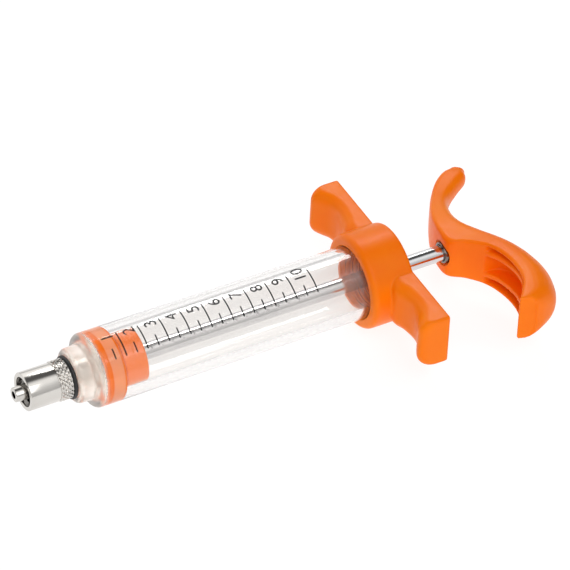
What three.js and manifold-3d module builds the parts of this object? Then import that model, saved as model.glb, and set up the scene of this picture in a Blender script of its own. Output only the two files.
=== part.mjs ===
// A hand-operated, reusable 10 mL syringe: a clear barrel with a screw-in metal Luer-lock nozzle, a winged
// screw cap, and a plunger with a two-lip seal and a curved push handle. Millimetres. The barrel's axis is X,
// the nozzle points to -X, the wings lie along Y, and x = 0 is the inner end wall, the scale's zero.
import * as THREE from 'three';
import { mergeVertices } from 'three/addons/utils/BufferGeometryUtils.js';
import Module from 'manifold-3d';

const wasm = await Module();
wasm.setup();

// Fineness
const roundSegments = 32;
const smallSegments = 20;
const filletSteps = 2;
const threadSteps = 14;

// Edges and threads
const fineEdge = 0.2;
const smallEdge = 0.3;
const softEdge = 0.4;
const threadPhase = 0.1;
const cutterOverrun = 1;

// Barrel
const boreDiameter = 14.34;
const barrelWall = 2.83;
const barrelLength = 83.4;
const noseWall = 3.0;
const noseFillet = 1.8;
const bossRadius = 7.4;
const bossLength = 3.9;
const bossFillet = 1.2;
const outletRadius = 1.0;

// Clearances
const slideClearance = 0.08;
const joinClearance = 0.15;
const faceClearance = 0.1;
const threadClearance = 0.28;
const stopClearance = 0.3;

// Screw cap with finger wings
const capHeight = 12.3;
const capWall = 2.67;
const capFloor = 3.5;
const capFillet = 1.7;
const capRearFillet = 0.9;
const capLip = 1.4;
const capThreadPitch = 2.0;
const capThreadDepth = 0.7;
const capThreadRoot = 1.1;
const capThreadCrest = 0.4;
const wingSpan = 60.7;
const wingHeight = 15.2;
const wingDepth = 8.6;
const wingWeb = 5.3;
const wingRootDepth = 7.3;
const wingShoulder = 3.2;
const wingShoulderDepth = 6.8;
const wingTipFillet = 1.9;
const wingGrooveMiddle = 0.43;
const wingOverrun = 3;
const wingTopFillet = 4.5;
const wingBottomFillet = 5.0;
const wingEdge = 0.6;
const gasketThickness = 0.9;
const gasketWidth = 1.9;
const bushRadius = 3.4;
const bushFlangeRadius = 4.8;
const bushFlange = 1.2;

// Luer-lock nozzle
const luerTipRadius = 1.975;
const luerTaper = 0.03;
const luerProjection = 2.6;
const luerThreadLead = 5.0;
const luerThreadDepth = 0.45;
const luerThreadRoot = 1.4;
const luerThreadCrest = 0.5;
const luerThreadInset = 1.1;
const luerThreadStarts = 2;
const skirtRadius = 5.2;
const skirtBore = 4.0;
const skirtLength = 8.7;
const skirtFloor = 1.0;
const skirtRelief = 0.3;
const knurlRadius = 5.42;
const knurlLength = 3.4;
const tipStemRadius = 1.7;
const tipStemLength = 3.5;
const tipBore = 0.95;
const washerThickness = 1.0;
const washerRadius = 5.85;
const stemRadius = 2.5;
const stemThreadPitch = 1.25;
const stemThreadDepth = 0.5;
const stemThreadRoot = 0.7;
const stemThreadCrest = 0.25;
const stemLength = 5.3;

// Plunger
const sealLength = 5.8;
const frontLip = 1.9;
const rearLip = 0.7;
const sealGroove = 0.75;
const sealFlank = 0.4;
const guideLength = 6.9;
const guideSlack = 0.14;
const guideFillet = 1.0;
const coreHeadRadius = 4.6;
const coreHead = 1.2;
const coreNeckRadius = 3.2;
const rodDiameter = 4.4;
const rodGroove = 0.7;
const rodHead = 0.5;
const clipThickness = 0.8;
const clipRadius = 3.6;
const clipWasherThickness = 0.6;
const pocketRadius = 4.4;
const rodExposed = 14.9;
const rodGrip = 7.0;
const insertWall = 0.55;
const insertProud = 0.4;

// Push handle
const hubHeight = 12.8;
const palmHeight = 14.6;
const hornHeight = 5.2;
const hornRoot = 5;
const hornEnd = 25;
const handleEdge = 1.0;
const pocketDepth = 3.6;
const pocketRib = 1.3;
const pocketSlot = 3.0;

// Worked-out sizes
const boreRadius = boreDiameter / 2;
const barrelRadius = boreRadius + barrelWall;
const rodRadius = rodDiameter / 2;
const noseFront = -noseWall - bossLength;
const capInside = barrelLength + gasketThickness + 2 * faceClearance;
const capRear = capInside + capFloor;
const capFront = capRear - capHeight;
const capBore = barrelRadius + threadClearance;
const capRadius = capBore + capWall;
const threadCore = barrelRadius - capThreadDepth;
const nozzleRear = noseFront - washerThickness - faceClearance;
const knurlFront = nozzleRear - knurlLength;
const skirtFront = knurlFront - skirtLength;
const skirtInside = knurlFront - skirtFloor;
const tipFront = skirtFront - luerProjection;
const stemHole = stemRadius + stemThreadDepth + threadClearance;
const stemEnd = nozzleRear + stemLength + washerThickness;
const hubFront = capRear + rodExposed;
const pistonFront = faceClearance;
const guideFront = pistonFront + sealLength + faceClearance;
const guideRear = guideFront + guideLength;
const grooveRear = guideFront + guideLength / 2;
const grooveFront = grooveRear - clipThickness - 2 * faceClearance;
const rodFront = grooveFront - rodHead;

// Materials
const clearPlastic = new THREE.MeshStandardMaterial({
  color: 0xe9edee, roughness: 0.08, metalness: 0, transparent: true, opacity: 0.35,
});
const orangePlastic = new THREE.MeshStandardMaterial({ color: 0xf5691a, roughness: 0.38, metalness: 0 });
const orangeSilicone = new THREE.MeshStandardMaterial({ color: 0xff8a2e, roughness: 0.5, metalness: 0 });
const nickel = new THREE.MeshStandardMaterial({ color: 0xc9c5be, roughness: 0.22, metalness: 1 });
const steel = new THREE.MeshStandardMaterial({ color: 0xd5d6d8, roughness: 0.15, metalness: 1 });
const blackRubber = new THREE.MeshStandardMaterial({ color: 0x161616, roughness: 0.6, metalness: 0 });
const paleAcetal = new THREE.MeshStandardMaterial({ color: 0xe8e6df, roughness: 0.45, metalness: 0 });

// A closed outline through corners [x, y, r], each corner rounded over the length r of its two sides.
function rounded(corners) {
  const path = new THREE.Shape();
  const count = corners.length;
  corners.forEach(([x, y, r = 0], i) => {
    const here = new THREE.Vector2(x, y);
    const toward = ([u, v]) => here.clone().add(new THREE.Vector2(u, v).sub(here).setLength(r));
    const before = toward(corners[(i + count - 1) % count]);
    const after = toward(corners[(i + 1) % count]);
    if (i === 0) path.moveTo(before.x, before.y);
    else path.lineTo(before.x, before.y);
    if (r > 0) path.quadraticCurveTo(x, y, after.x, after.y);
  });
  path.closePath();
  return path;
}

// A body turned about X from corners [x, radius, r], which run rearwards along its outside.
function turned(corners, segments = roundSegments) {
  const points = rounded(corners).getPoints(filletSteps).map((p) => new THREE.Vector2(p.y, p.x));
  if (!points[0].equals(points.at(-1))) points.push(points[0].clone());
  return new THREE.LatheGeometry(points, segments).rotateZ(-Math.PI / 2);
}

// The solid inside a closed geometry.
function solid(geometry) {
  const bare = geometry.clone();
  bare.deleteAttribute('normal');
  bare.deleteAttribute('uv');
  const merged = mergeVertices(bare, 1e-4);
  return new wasm.Manifold(new wasm.Mesh({
    numProp: 3,
    vertProperties: merged.attributes.position.array,
    triVerts: new Uint32Array(merged.index.array),
  }));
}

// The geometry of a solid.
function surface(body) {
  const mesh = body.getMesh();
  const geometry = new THREE.BufferGeometry();
  geometry.setAttribute('position', new THREE.BufferAttribute(mesh.vertProperties, 3));
  geometry.setIndex(new THREE.BufferAttribute(mesh.triVerts, 1));
  geometry.computeVertexNormals();
  return geometry;
}

// A screw ridge about X whose section narrows from rootWidth at the root radius to crestWidth at the crest.
function ridge({ root, crest, rootWidth, crestWidth, lead, from, to, phase = 0 }) {
  const steps = Math.ceil(((to - from) / lead) * threadSteps);
  const section = [[-rootWidth / 2, root], [-crestWidth / 2, crest], [crestWidth / 2, crest], [rootWidth / 2, root]];
  const positions = [];
  for (let i = 0; i <= steps; i += 1) {
    const x = from + ((to - from) * i) / steps;
    const angle = phase + (2 * Math.PI * (x - from)) / lead;
    for (const [dx, r] of section) positions.push(x + dx, r * Math.cos(angle), r * Math.sin(angle));
  }
  const faces = [];
  const quad = (a, b, c, d) => faces.push(a, b, c, a, c, d);
  for (let i = 0; i < steps; i += 1) {
    for (let j = 0; j < 4; j += 1) {
      const k = (j + 1) % 4;
      quad(4 * i + j, 4 * i + k, 4 * i + 4 + k, 4 * i + 4 + j);
    }
  }
  const last = 4 * steps;
  quad(3, 2, 1, 0);
  quad(last, last + 1, last + 2, last + 3);
  const geometry = new THREE.BufferGeometry();
  geometry.setAttribute('position', new THREE.Float32BufferAttribute(positions, 3));
  if (crest > root) faces.reverse();
  geometry.setIndex(faces);
  return geometry;
}

// A flat outline in X and Y, made height thick about z = 0 with its edges rounded.
function slab(shape, height, edge, curveSegments = 6) {
  const depth = height - 2 * edge;
  const geometry = new THREE.ExtrudeGeometry(shape, {
    depth, curveSegments, bevelEnabled: edge > 0, bevelThickness: edge, bevelSize: edge,
    bevelOffset: -edge, bevelSegments: 2,
  });
  return geometry.translate(0, 0, -depth / 2);
}

function barrel() {
  const fillet = Math.min(noseFillet, 0.7 * (barrelRadius - bossRadius));
  const reliefStart = capFront + capLip;
  const body = solid(turned([
    [noseFront, stemHole],
    [noseFront, bossRadius, bossFillet],
    [-noseWall, bossRadius, softEdge],
    [-noseWall, barrelRadius, fillet],
    [reliefStart, barrelRadius],
    [reliefStart, threadCore],
    [barrelLength, threadCore, softEdge],
    [barrelLength, boreRadius, softEdge],
    [0, boreRadius, softEdge],
    [0, outletRadius],
    [stemEnd + stopClearance, outletRadius],
    [stemEnd + stopClearance, stemHole],
  ]));
  const outerThread = ridge({
    root: threadCore - threadClearance, crest: barrelRadius - faceClearance / 2,
    rootWidth: capThreadRoot, crestWidth: capThreadCrest, lead: capThreadPitch,
    from: reliefStart + capThreadPitch / 2, to: barrelLength - capThreadPitch / 2, phase: threadPhase,
  });
  return surface(body.add(solid(outerThread)));
}

function nozzleBody() {
  const body = solid(turned([
    [skirtFront, skirtBore, fineEdge],
    [skirtFront, skirtRadius, smallEdge],
    [knurlFront - skirtRelief, skirtRadius],
    [knurlFront - skirtRelief, skirtRadius - skirtRelief],
    [knurlFront, skirtRadius - skirtRelief],
    [knurlFront, knurlRadius, softEdge],
    [nozzleRear, knurlRadius, softEdge],
    [nozzleRear, stemRadius],
    [stemEnd, stemRadius, softEdge],
    [stemEnd, outletRadius],
    [skirtInside + tipStemLength + faceClearance, outletRadius],
    [skirtInside + tipStemLength + faceClearance, tipStemRadius + joinClearance],
    [skirtInside, tipStemRadius + joinClearance],
    [skirtInside, skirtBore],
  ], smallSegments));
  const stemThread = ridge({
    root: stemRadius - threadClearance, crest: stemRadius + stemThreadDepth,
    rootWidth: stemThreadRoot, crestWidth: stemThreadCrest, lead: stemThreadPitch,
    from: noseFront + stemThreadPitch, to: stemEnd - stemThreadPitch / 2, phase: threadPhase,
  });
  let whole = body.add(solid(stemThread));
  for (let start = 0; start < luerThreadStarts; start += 1) {
    whole = whole.add(solid(ridge({
      root: skirtBore + threadClearance, crest: skirtBore - luerThreadDepth,
      rootWidth: luerThreadRoot, crestWidth: luerThreadCrest, lead: luerThreadLead,
      from: skirtFront + luerThreadInset, to: skirtInside - luerThreadInset,
      phase: threadPhase + (2 * Math.PI * start) / luerThreadStarts,
    })));
  }
  return surface(whole);
}

function luerTip() {
  const baseRadius = luerTipRadius + luerTaper * (skirtInside - tipFront);
  return turned([
    [tipFront, tipBore],
    [tipFront, luerTipRadius, fineEdge],
    [skirtInside - faceClearance, baseRadius],
    [skirtInside - faceClearance, tipStemRadius],
    [skirtInside + tipStemLength, tipStemRadius],
    [skirtInside + tipStemLength, tipBore],
  ], smallSegments);
}

function nozzleWasher() {
  const front = nozzleRear + faceClearance;
  const rear = noseFront - faceClearance;
  const inner = stemRadius + stemThreadDepth + joinClearance;
  return turned([
    [front, inner],
    [front, washerRadius, smallEdge],
    [rear, washerRadius, smallEdge],
    [rear, inner],
  ], smallSegments);
}

// The wings in plan: on each side a finger groove between the collar and the tip. The outline runs past the
// back and the two ends, where the wings' side profile trims it square.
function wingOutline() {
  const half = wingSpan / 2;
  const grooveMiddle = capRadius + wingGrooveMiddle * (half - capRadius);
  const tipDepth = wingDepth - wingTipFillet;
  const tipCorner = wingTipFillet * (1 - Math.SQRT1_2);
  const groove = [
    [tipDepth, half],
    [wingDepth - tipCorner, half - tipCorner],
    [wingDepth, half - wingTipFillet],
    [wingShoulderDepth, half - wingTipFillet - wingShoulder],
    [wingWeb, grooveMiddle],
    [wingRootDepth, capRadius + wingEdge],
    [wingDepth, capRadius - wingOverrun],
  ];
  const side = (sign) => groove.map(([depth, y]) => new THREE.Vector2(capRear - depth, sign * y));
  const shape = new THREE.Shape();
  shape.moveTo(capRear + wingOverrun, -half - wingOverrun);
  shape.lineTo(capRear + wingOverrun, half + wingOverrun);
  shape.lineTo(capRear - tipDepth, half + wingOverrun);
  shape.splineThru(side(1));
  shape.lineTo(capRear - wingDepth, -capRadius + wingOverrun);
  shape.splineThru(side(-1).reverse().slice(1));
  shape.lineTo(capRear - tipDepth, -half - wingOverrun);
  shape.closePath();
  return shape;
}

function wingedCap() {
  const collar = solid(turned([
    [capFront, 0],
    [capFront, capRadius, capFillet],
    [capRear, capRadius, capRearFillet],
    [capRear, 0],
  ]));
  const wings = solid(slab(wingOutline(), wingHeight, 0, 4));
  const side = rounded([
    [capRear, -wingHeight / 2, wingEdge],
    [capRear, wingHeight / 2, wingEdge],
    [capRear - wingDepth, wingHeight / 2, wingTopFillet],
    [capRear - wingDepth, -wingHeight / 2, wingBottomFillet],
  ]);
  const profile = new THREE.ExtrudeGeometry(side, { depth: wingSpan, curveSegments: 5, bevelEnabled: false });
  profile.rotateX(Math.PI / 2).translate(0, wingSpan / 2, 0);
  const envelope = solid(profile);
  const hollow = solid(turned([
    [capFront - cutterOverrun, 0],
    [capFront - cutterOverrun, capBore],
    [capInside, capBore],
    [capInside, bushRadius + joinClearance],
    [capRear + cutterOverrun, bushRadius + joinClearance],
    [capRear + cutterOverrun, 0],
  ]));
  const thread = ridge({
    root: capBore + threadClearance, crest: capBore - capThreadDepth,
    rootWidth: capThreadRoot, crestWidth: capThreadCrest, lead: capThreadPitch,
    from: capFront + capLip + capThreadPitch / 2, to: capInside - capThreadPitch,
    phase: Math.PI + threadPhase,
  });
  return surface(collar.add(wings.intersect(envelope)).subtract(hollow).add(solid(thread)));
}

function capGasket() {
  const rear = capInside - faceClearance;
  const outer = threadCore - capThreadDepth;
  return turned([
    [rear - gasketThickness, outer - gasketWidth],
    [rear - gasketThickness, outer],
    [rear, outer],
    [rear, outer - gasketWidth],
  ], smallSegments);
}

function rodGuideBush() {
  const inner = rodRadius + slideClearance;
  const face = capInside - faceClearance;
  return turned([
    [face - bushFlange, inner, fineEdge],
    [face - bushFlange, bushFlangeRadius, smallEdge],
    [face, bushFlangeRadius],
    [face, bushRadius],
    [capRear - faceClearance, bushRadius],
    [capRear - faceClearance, inner, fineEdge],
  ], smallSegments);
}

function pistonSeal() {
  const outer = boreRadius - slideClearance;
  const groove = outer - sealGroove;
  const neck = coreNeckRadius + joinClearance;
  const rear = pistonFront + sealLength;
  const seat = pistonFront + coreHead + faceClearance;
  return turned([
    [pistonFront, coreHeadRadius + joinClearance],
    [pistonFront, outer, smallEdge],
    [pistonFront + frontLip, outer, smallEdge],
    [pistonFront + frontLip + sealFlank, groove],
    [rear - rearLip - sealFlank, groove],
    [rear - rearLip, outer, fineEdge],
    [rear, outer, fineEdge],
    [rear, neck],
    [seat, neck],
    [seat, coreHeadRadius + joinClearance],
  ]);
}

function pistonCore() {
  const neckEnd = rodFront - joinClearance;
  return turned([
    [pistonFront + faceClearance, 0],
    [pistonFront + faceClearance, coreHeadRadius, smallEdge],
    [pistonFront + coreHead, coreHeadRadius],
    [pistonFront + coreHead, coreNeckRadius],
    [neckEnd, coreNeckRadius, smallEdge],
    [neckEnd, 0],
  ], smallSegments);
}

function pistonGuide() {
  const outer = boreRadius - guideSlack;
  const neck = coreNeckRadius + joinClearance;
  const throat = rodRadius + joinClearance;
  const pocketRear = grooveRear + clipWasherThickness + 2 * faceClearance;
  return turned([
    [guideFront, neck],
    [guideFront, outer, fineEdge],
    [guideRear, outer, guideFillet],
    [guideRear, throat],
    [pocketRear, throat],
    [pocketRear, pocketRadius],
    [grooveFront, pocketRadius],
    [grooveFront, neck],
  ]);
}

function retainingClip() {
  const rear = grooveRear - faceClearance;
  const seat = rodRadius - rodGroove + joinClearance;
  return turned([
    [rear - clipThickness, seat],
    [rear - clipThickness, clipRadius],
    [rear, clipRadius],
    [rear, seat],
  ], smallSegments);
}

function thrustWasher() {
  const front = grooveRear;
  const inner = rodRadius + joinClearance;
  return turned([
    [front, inner],
    [front, pocketRadius - joinClearance],
    [front + clipWasherThickness, pocketRadius - joinClearance],
    [front + clipWasherThickness, inner],
  ], smallSegments);
}

function plungerRod() {
  const end = hubFront + rodGrip;
  return turned([
    [rodFront, 0],
    [rodFront, rodRadius, fineEdge],
    [grooveFront, rodRadius],
    [grooveFront, rodRadius - rodGroove],
    [grooveRear, rodRadius - rodGroove],
    [grooveRear, rodRadius],
    [end, rodRadius, softEdge],
    [end, 0],
  ], smallSegments);
}

function handleInsert() {
  const inner = rodRadius + joinClearance;
  const outer = inner + insertWall;
  const end = hubFront + rodGrip + faceClearance;
  return turned([
    [hubFront - insertProud, inner],
    [hubFront - insertProud, outer, fineEdge],
    [end + insertWall, outer],
    [end + insertWall, 0],
    [end, 0],
    [end, inner],
  ], smallSegments);
}

// The handle seen from above, measured from the hub's front face: a horn that sweeps back on the +Y side and
// a thick palm rest that curls forward on the -Y side.
function handleOutline() {
  const point = (x, y) => new THREE.Vector2(hubFront + x, y);
  const shape = new THREE.Shape();
  shape.moveTo(hubFront, -2.6);
  shape.lineTo(hubFront, 2.8);
  shape.splineThru([point(1.3, 8.2), point(6.2, 17.4), point(12.5, 24.9)]);
  shape.splineThru([point(15.6, 26.9), point(18.8, 26.7), point(20.0, 24.8), point(19.1, 22.6)]);
  shape.splineThru([point(13.3, 18.2), point(8.4, 11.8), point(7.6, 6.4), point(10.8, -0.4)]);
  shape.splineThru([point(16.8, -10.4), point(19.4, -20.5), point(17.4, -29.2), point(9.9, -33.0)]);
  shape.splineThru([point(6.8, -32.3), point(5.5, -31.1), point(6.2, -28.8)]);
  shape.splineThru([point(9.2, -20.0), point(8.5, -11.4), point(4.3, -5.3), point(0, -2.6)]);
  return shape;
}

// The handle's height along Y: full at the palm rest and the hub, thin at the end of the horn.
function handleSide() {
  const half = hubHeight / 2;
  const palm = palmHeight / 2;
  const horn = hornHeight / 2;
  const upper = [[-34, palm - 0.8], [-24, palm], [-12, palm], [-3, half], [hornRoot, half], [hornEnd, horn], [29, horn]];
  const lower = upper.map(([y, z]) => [y, -z]).reverse();
  return rounded([...upper, ...lower].map(([y, z]) => [z, y, 2]));
}

// One slot between two ribs in the palm rest's front, as deep as pocketDepth and open to the front.
function palmPocket() {
  const shape = new THREE.Shape();
  shape.moveTo(hubFront + 2.0, -7.6);
  shape.quadraticCurveTo(hubFront + 10.5, -8.3, hubFront + 9.0 + pocketDepth, -15.5);
  shape.quadraticCurveTo(hubFront + 13.0, -21.5, hubFront + 8.0, -26.0);
  shape.lineTo(hubFront + 2.0, -26.0);
  shape.closePath();
  return shape;
}

function handle() {
  const plan = solid(slab(handleOutline(), palmHeight, handleEdge, 4));
  const sideLength = 40;
  const side = new THREE.ExtrudeGeometry(handleSide(), { depth: sideLength, curveSegments: 2, bevelEnabled: false });
  side.rotateY(Math.PI / 2).translate(hubFront - sideLength / 4, 0, 0);
  let body = plan.intersect(solid(side));
  for (const level of [-1, 0, 1]) {
    const slot = slab(palmPocket(), pocketSlot, 0).translate(0, 0, level * (pocketSlot + pocketRib));
    body = body.subtract(solid(slot));
  }
  const holeRadius = rodRadius + insertWall + 2 * joinClearance;
  const holeEnd = hubFront + rodGrip + insertWall + 2 * faceClearance;
  const hole = turned([
    [hubFront - cutterOverrun, 0],
    [hubFront - cutterOverrun, holeRadius],
    [holeEnd, holeRadius],
    [holeEnd, 0],
  ], smallSegments);
  return surface(body.subtract(solid(hole)));
}

const pieces = [
  ['barrel', barrel(), clearPlastic],
  ['nozzle_washer', nozzleWasher(), blackRubber],
  ['nozzle_body', nozzleBody(), nickel],
  ['luer_tip', luerTip(), nickel],
  ['cap_gasket', capGasket(), blackRubber],
  ['rod_guide_bush', rodGuideBush(), paleAcetal],
  ['winged_cap', wingedCap(), orangePlastic],
  ['piston_core', pistonCore(), orangePlastic],
  ['piston_seal', pistonSeal(), orangeSilicone],
  ['piston_guide', pistonGuide(), orangePlastic],
  ['thrust_washer', thrustWasher(), steel],
  ['retaining_clip', retainingClip(), steel],
  ['plunger_rod', plungerRod(), steel],
  ['handle_insert', handleInsert(), nickel],
  ['handle', handle(), orangePlastic],
];

const syringe = new THREE.Group();
for (const [name, geometry, material] of pieces) {
  const mesh = new THREE.Mesh(geometry, material);
  mesh.name = name;
  syringe.add(mesh);
}

// The origin is the middle of the base that the syringe lies on.
const box = new THREE.Box3().setFromObject(syringe);
const middle = box.getCenter(new THREE.Vector3());
syringe.position.set(-middle.x, -middle.y, -box.min.z);

const part = new THREE.Group();
part.add(syringe);
export default part;
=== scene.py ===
import math

import bmesh
import bpy
from mathutils import Matrix, Vector


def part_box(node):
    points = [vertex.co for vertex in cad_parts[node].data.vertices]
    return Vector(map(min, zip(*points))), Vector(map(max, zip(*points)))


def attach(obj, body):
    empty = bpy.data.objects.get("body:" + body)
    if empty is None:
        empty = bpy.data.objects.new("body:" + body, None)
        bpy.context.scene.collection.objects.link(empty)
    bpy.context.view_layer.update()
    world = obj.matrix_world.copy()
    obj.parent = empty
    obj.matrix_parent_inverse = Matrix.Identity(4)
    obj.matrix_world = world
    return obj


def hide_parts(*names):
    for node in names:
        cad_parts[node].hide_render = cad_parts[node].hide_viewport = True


# A reusable 10 mL hand syringe. Sizes in the settings are millimetres and angles degrees. Along the barrel
# they count from the scale's zero, the inner end wall, so +x runs to the handle and the nozzle is on the
# minus side.

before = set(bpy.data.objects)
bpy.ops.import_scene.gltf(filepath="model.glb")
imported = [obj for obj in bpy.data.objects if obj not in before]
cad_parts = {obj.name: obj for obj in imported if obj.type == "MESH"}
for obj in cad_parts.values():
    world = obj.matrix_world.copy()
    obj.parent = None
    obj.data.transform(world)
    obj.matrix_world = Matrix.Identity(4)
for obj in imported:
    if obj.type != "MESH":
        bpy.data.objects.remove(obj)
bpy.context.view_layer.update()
bpy.ops.object.select_all(action="DESELECT")
print("frame loaded:", len(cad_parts), "nodes")

mm = 0.001
noseLength = 6.9  # from the front of the barrel's nose to the scale's zero
barrelLow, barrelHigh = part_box("barrel")
zeroX = barrelLow.x + noseLength * mm
axisY = (barrelLow.y + barrelHigh.y) / 2
axisZ = (barrelLow.z + barrelHigh.z) / 2


def place(x, y, z):
    return Vector((zeroX + x * mm, axisY + y * mm, axisZ + z * mm))


# finishes, all made from noise on the pieces' own coordinates

def newMaterial(name, values):
    # values are what is the same all over the surface, set on the shader's own sockets
    material = bpy.data.materials.new(name)
    material.use_nodes = True
    shader = material.node_tree.nodes["Principled BSDF"]
    for key, value in values.items():
        shader.inputs[key].default_value = value
    return material, material.node_tree, shader


def addNode(tree, kind, values=None, **settings):
    node = tree.nodes.new(kind)
    for key, value in settings.items():
        setattr(node, key, value)
    for key, value in (values or {}).items():
        node.inputs[key].default_value = value
    return node


def noiseOf(tree, scale, detail=3.0, stretch=(1, 1, 1)):
    spot = addNode(tree, "ShaderNodeTexCoord")
    mapping = addNode(tree, "ShaderNodeMapping", {"Scale": stretch})
    noise = addNode(tree, "ShaderNodeTexNoise", {"Scale": scale, "Detail": detail})
    tree.links.new(spot.outputs["Object"], mapping.inputs["Vector"])
    tree.links.new(mapping.outputs["Vector"], noise.inputs["Vector"])
    return noise.outputs["Fac"]


def spread(tree, source, low, high, start=0.3, end=0.7):
    # low where the source is at its start, high at its end, and straight between them
    limits = {"From Min": start, "From Max": end, "To Min": low, "To Max": high}
    ranged = addNode(tree, "ShaderNodeMapRange", limits)
    tree.links.new(source, ranged.inputs["Value"])
    return ranged.outputs["Result"]


def tintMix(tree, source, first, second, start=0.3, end=0.7):
    mix = addNode(tree, "ShaderNodeMix", data_type="RGBA")
    mix.inputs["A"].default_value = (*first, 1)
    mix.inputs["B"].default_value = (*second, 1)
    tree.links.new(spread(tree, source, 0, 1, start, end), mix.inputs["Factor"])
    return mix.outputs["Result"]


def bumpOf(tree, source, strength, distance, before=None):
    bump = addNode(tree, "ShaderNodeBump", {"Strength": strength, "Distance": distance})
    tree.links.new(source, bump.inputs["Height"])
    if before is not None:
        tree.links.new(before, bump.inputs["Normal"])
    return bump.outputs["Normal"]


def mathOf(tree, operation, first, second):
    node = addNode(tree, "ShaderNodeMath", operation=operation)
    for i, value in enumerate((first, second)):
        if isinstance(value, (int, float)):
            node.inputs[i].default_value = value
        else:
            tree.links.new(value, node.inputs[i])
    return node.outputs[0]


def axesOf(tree, kind="Object"):
    spot = addNode(tree, "ShaderNodeTexCoord")
    split = addNode(tree, "ShaderNodeSeparateXYZ")
    tree.links.new(spot.outputs[kind], split.inputs["Vector"])
    return split.outputs


def radiusOf(tree, axes):
    # how far a point lies from the barrel's axis
    sideways = mathOf(tree, "SUBTRACT", axes["Y"], axisY)
    upward = mathOf(tree, "SUBTRACT", axes["Z"], axisZ)
    squares = [mathOf(tree, "MULTIPLY", side, side) for side in (sideways, upward)]
    return mathOf(tree, "SQRT", mathOf(tree, "ADD", *squares), 0)


orangeSettings = {
    "deep": (0.95, 0.172, 0.001),
    "bright": (0.99, 0.213, 0.002),
    "roughness": (0.3, 0.4),
    "grain": 0.02,
    "waves": 0.08,
    "shader": {
        "IOR": 1.5,
        "Specular IOR Level": 0.14,
        "Subsurface Weight": 0.12,
        "Subsurface Radius": (1.0, 0.35, 0.08),
        "Subsurface Scale": 0.0012,
    },
}


def orangePlastic():
    s = orangeSettings
    material, tree, shader = newMaterial("orangePlastic", s["shader"])
    cloud = noiseOf(tree, 60, 4)
    tree.links.new(tintMix(tree, cloud, s["deep"], s["bright"]), shader.inputs["Base Color"])
    fine = noiseOf(tree, 900, 3)
    tree.links.new(spread(tree, fine, *s["roughness"]), shader.inputs["Roughness"])
    waves = bumpOf(tree, noiseOf(tree, 160, 2), 0.25, s["waves"] * mm)
    tree.links.new(bumpOf(tree, fine, 0.35, s["grain"] * mm, waves), shader.inputs["Normal"])
    return material


siliconeSettings = {
    "edge": (0.96, 0.19, 0.004),
    # painted reflection: the paler colour on the band between the lips
    "middle": (1.0, 0.36, 0.17),
    "from": 2.0,
    "to": 5.2,
    "soft": 0.15,
    "patches": (0.75, 1.0),
    "roughness": (0.34, 0.46),
    "grain": 0.02,
    "shader": {
        "IOR": 1.42,
        "Specular IOR Level": 0.2,
        "Subsurface Weight": 0.3,
        "Subsurface Radius": (1.0, 0.4, 0.1),
        "Subsurface Scale": 0.002,
    },
}


def orangeSilicone():
    # deep orange where the lips press the bore, paler on the band between them, a painted reflection of the
    # bore's inner face over the air gap
    s = siliconeSettings
    material, tree, shader = newMaterial("orangeSilicone", s["shader"])
    along = axesOf(tree)["X"]
    first, last = zeroX + s["from"] * mm, zeroX + s["to"] * mm
    soft = s["soft"] * mm
    begin = spread(tree, along, 0, 1, first - soft, first + soft)
    finish = spread(tree, along, 1, 0, last - soft, last + soft)
    patchy = spread(tree, noiseOf(tree, 120, 3), *s["patches"])
    # the band between the lips, where the painted reflection goes
    band = mathOf(tree, "MULTIPLY", mathOf(tree, "MULTIPLY", begin, finish), patchy)
    tree.links.new(tintMix(tree, band, s["edge"], s["middle"], 0.0, 1.0), shader.inputs["Base Color"])
    fine = noiseOf(tree, 1200, 2)
    tree.links.new(spread(tree, fine, *s["roughness"]), shader.inputs["Roughness"])
    tree.links.new(bumpOf(tree, fine, 0.3, s["grain"] * mm), shader.inputs["Normal"])
    return material


glassSettings = {
    "tint": (0.92, 0.904, 0.89),
    "roughness": (0.02, 0.045),
    "ripple": 0.04,
    "innerHaze": 0.05,
    "hazeRadii": (7.3, 8.2),
    "noseTint": (1.0, 0.93, 0.84),
    "noseHaze": 0.32,
    "noseRoughness": 0.28,
    "noseFade": (-1.4, 0.2),
    "shader": {"IOR": 1.49},
}


def clearPlastic():
    # clear along the tube, hazy on the inside of the bore and more so round the moulded nose
    s = glassSettings
    material, tree, shader = newMaterial("clearPlastic", s["shader"])
    axes = axesOf(tree)
    inner = spread(tree, radiusOf(tree, axes), s["innerHaze"], 0.0, *(r * mm for r in s["hazeRadii"]))
    nose = spread(tree, axes["X"], 1.0, 0.0, *(zeroX + x * mm for x in s["noseFade"]))
    cloud = spread(tree, noiseOf(tree, 700, 2), 0.5 * s["noseHaze"], 1.5 * s["noseHaze"])
    haze = mathOf(tree, "MAXIMUM", inner, mathOf(tree, "MULTIPLY", nose, cloud))
    tree.links.new(mathOf(tree, "SUBTRACT", 1.0, haze), shader.inputs["Transmission Weight"])
    tree.links.new(tintMix(tree, nose, s["tint"], s["noseTint"], 0.0, 1.0), shader.inputs["Base Color"])
    plain = spread(tree, noiseOf(tree, 140, 3, (0.3, 1, 1)), *s["roughness"])
    frosted = mathOf(tree, "MULTIPLY", nose, s["noseRoughness"])
    tree.links.new(mathOf(tree, "ADD", plain, frosted), shader.inputs["Roughness"])
    ripple = bumpOf(tree, noiseOf(tree, 40, 0, (0.15, 1, 1)), 0.01, s["ripple"] * mm)
    tree.links.new(ripple, shader.inputs["Normal"])
    return material


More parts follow.
